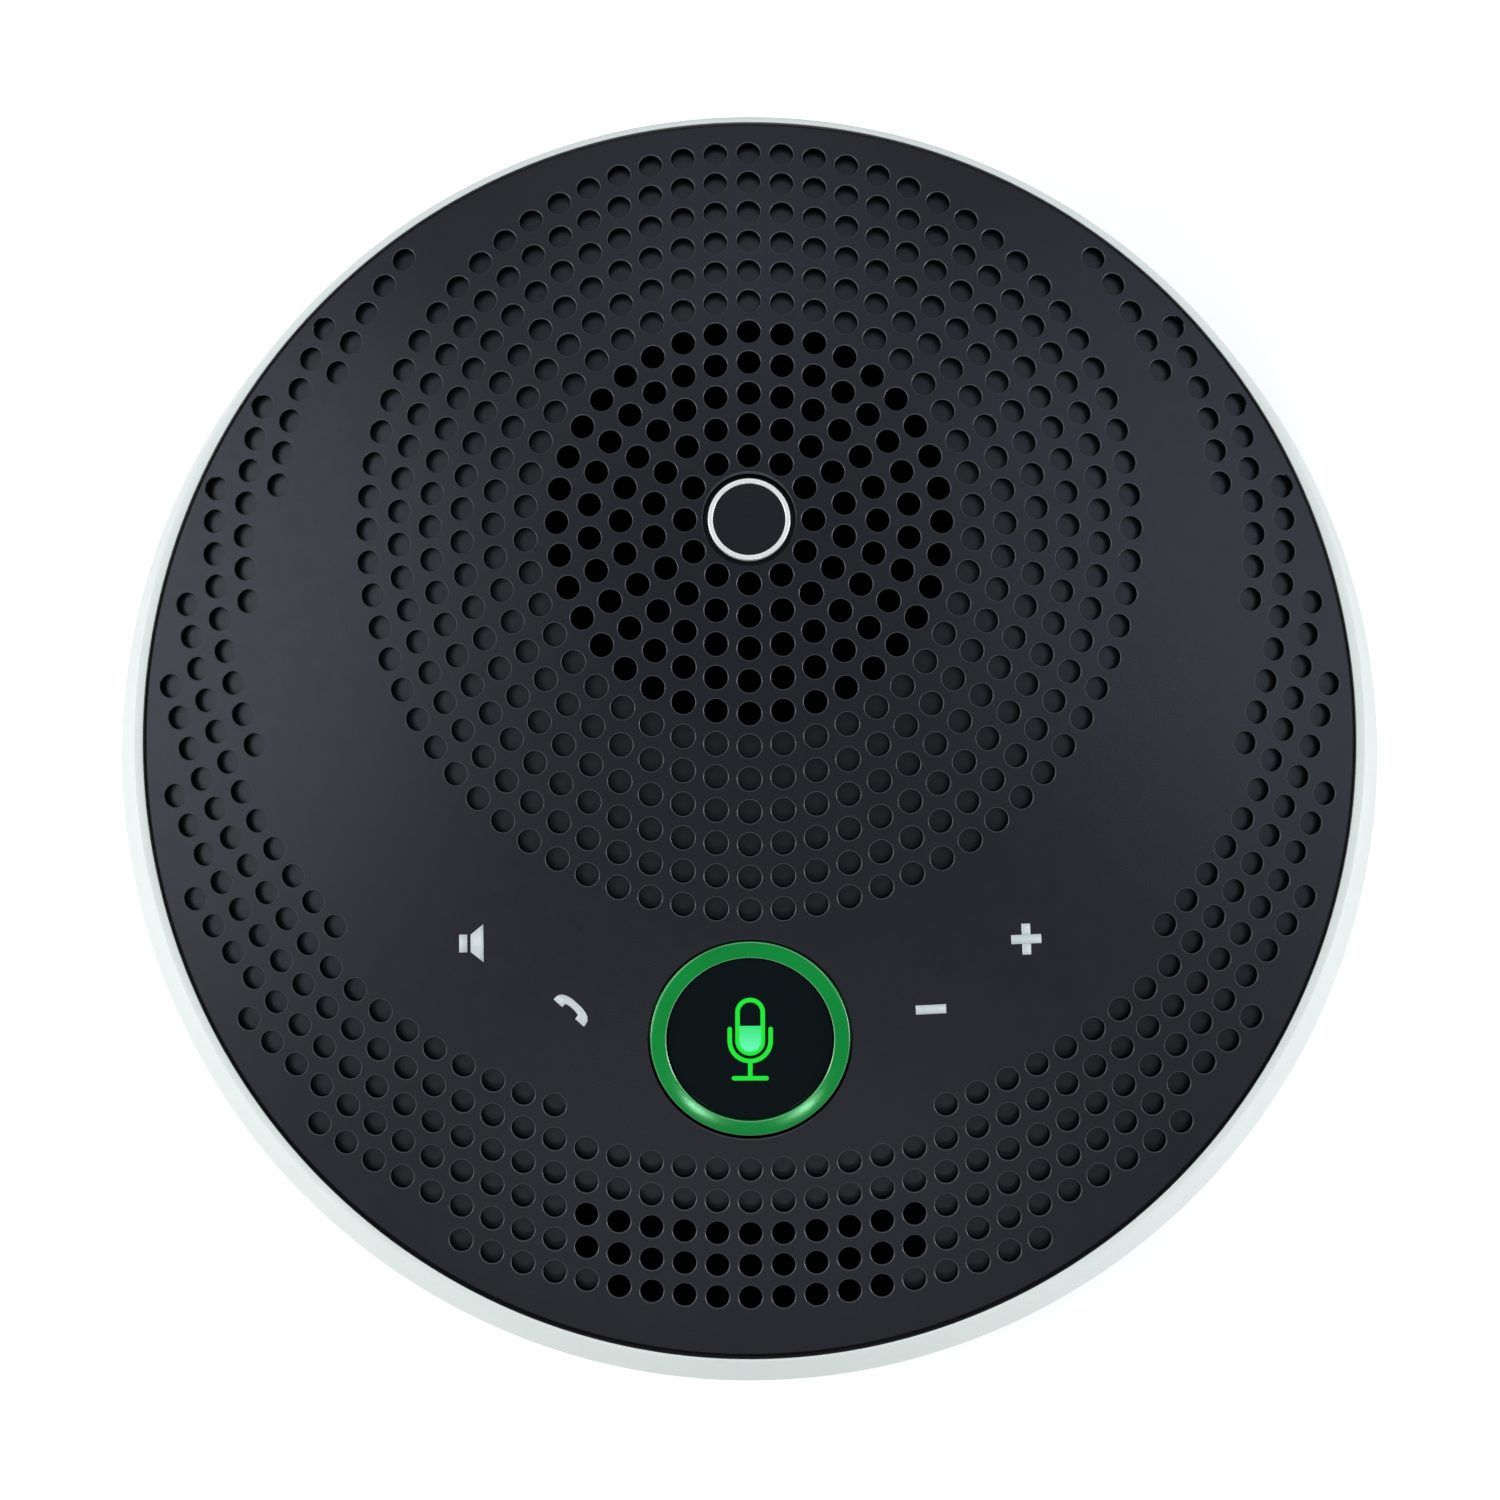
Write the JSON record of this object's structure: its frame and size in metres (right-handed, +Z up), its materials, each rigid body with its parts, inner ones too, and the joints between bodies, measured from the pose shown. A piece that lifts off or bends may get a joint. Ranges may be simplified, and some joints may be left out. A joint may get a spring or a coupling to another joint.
{
  "type": "conference speakerphone",
  "caption": "Round desktop speakerphone: perforated domed cover on a pale bowl, sprung mute button in a light ring, loudspeaker, boards and battery inside.",
  "frame": {"origin": "on the table, under the middle of the housing", "axes": "+Z up, -Y towards the user and the mute button, +Y towards the sockets, +X to the user's right"},
  "size_m": [0.1598, 0.1597, 0.0367],
  "materials": {
    "cover_plastic": "satin moulded plastic, bluish charcoal, fine texture",
    "rim_plastic": "satin moulded plastic, near white with a cool tint",
    "black_rubber": "matte",
    "badge_silver": "turned silver trim",
    "badge_dark": "fine concentric brushing under lacquer, plain",
    "mute_gloss": "polished dark cap",
    "light_guide": "green light guide",
    "zinc_steel": "zinc plated steel",
    "ferrite": "sintered ferrite, plain",
    "cone_paper": "coated paper",
    "acoustic_cloth": "black woven acoustic cloth",
    "circuit_board": "green solder mask",
    "chip_black": "moulded epoxy",
    "copper": "enamelled copper winding",
    "battery_foil": "plain wrapped cell",
    "amber_film": "polyimide film",
    "lead_insulation": "insulated wire",
    "dark_plastic": "moulded"
  },
  "bodies": {
    "housing": {"top_cover": "cover_plastic", "lower_housing": "rim_plastic", "seam_ring": "black_rubber", "foot_ring": "black_rubber", "badge_ring": "badge_silver", "badge_disc": "badge_dark", "grille_cloth": "acoustic_cloth", "mic_mesh": "acoustic_cloth", "speaker_gasket": "black_rubber", "speaker_basket": "zinc_steel", "speaker_surround": "black_rubber", "speaker_spider": "amber_film", "speaker_top_plate": "zinc_steel", "speaker_magnet": "ferrite", "speaker_yoke": "zinc_steel", "speaker_chamber": "dark_plastic", "speaker_lead": "lead_insulation", "mute_light_ring": "light_guide", "mute_switch": "chip_black", "mute_board": "circuit_board", "touch_lead": "lead_insulation", "touch_film_left": "amber_film", "touch_film_right": "amber_film", "nfc_antenna": "amber_film", "mic_boot": "black_rubber", "mic_capsule": "zinc_steel", "main_board": "circuit_board", "shield_can": "zinc_steel", "radio_module": "zinc_steel", "amplifier_chip": "chip_black", "battery_cell": "battery_foil", "battery_tray": "dark_plastic", "battery_lead": "lead_insulation", "io_board": "circuit_board", "io_lead": "lead_insulation", "usb_socket": "zinc_steel", "headphone_socket": "dark_plastic", "power_switch": "chip_black", "pairing_switch": "chip_black", "base_screw_1": "zinc_steel", "base_screw_2": "zinc_steel", "base_screw_3": "zinc_steel", "base_screw_4": "zinc_steel", "speaker_screw_1": "zinc_steel", "ring_led_1": "light_guide", "speaker_screw_2": "zinc_steel", "ring_led_2": "light_guide", "speaker_screw_3": "zinc_steel", "ring_led_3": "light_guide", "board_screw_1": "zinc_steel", "io_screw_1": "zinc_steel", "board_screw_2": "zinc_steel", "io_screw_2": "zinc_steel"},
    "mute_button": {"mute_cap": "mute_gloss", "mute_plunger": "dark_plastic"},
    "power_button_body": {"power_button": "rim_plastic"},
    "pairing_button_body": {"pairing_button": "rim_plastic"},
    "speaker_diaphragm": {"speaker_cone": "cone_paper", "speaker_dust_cap": "cone_paper", "voice_coil": "copper"}
  },
  "joints": [
    {"name": "mute_press", "type": "slide", "parent": "housing", "child": "mute_button", "axis": [0, 0.2965, -0.955], "range_m": [0, 0.0008], "stiffness_N_per_m": 600, "springref_m": -0.0005},
    {"name": "power_press", "type": "slide", "parent": "housing", "child": "power_button_body", "axis": [-0.284, -0.9588, 0], "range_m": [0, 0.0005], "stiffness_N_per_m": 800, "springref_m": -0.0003},
    {"name": "pairing_press", "type": "slide", "parent": "housing", "child": "pairing_button_body", "axis": [-0.1305, -0.9914, 0], "range_m": [0, 0.0005], "stiffness_N_per_m": 800, "springref_m": -0.0003},
    {"name": "speaker_stroke", "type": "slide", "parent": "housing", "child": "speaker_diaphragm", "axis": [0, 0, 1], "range_m": [-0.0015, 0.0015], "stiffness_N_per_m": 1600, "deforming": ["speaker_surround", "speaker_spider"]}
  ]
}
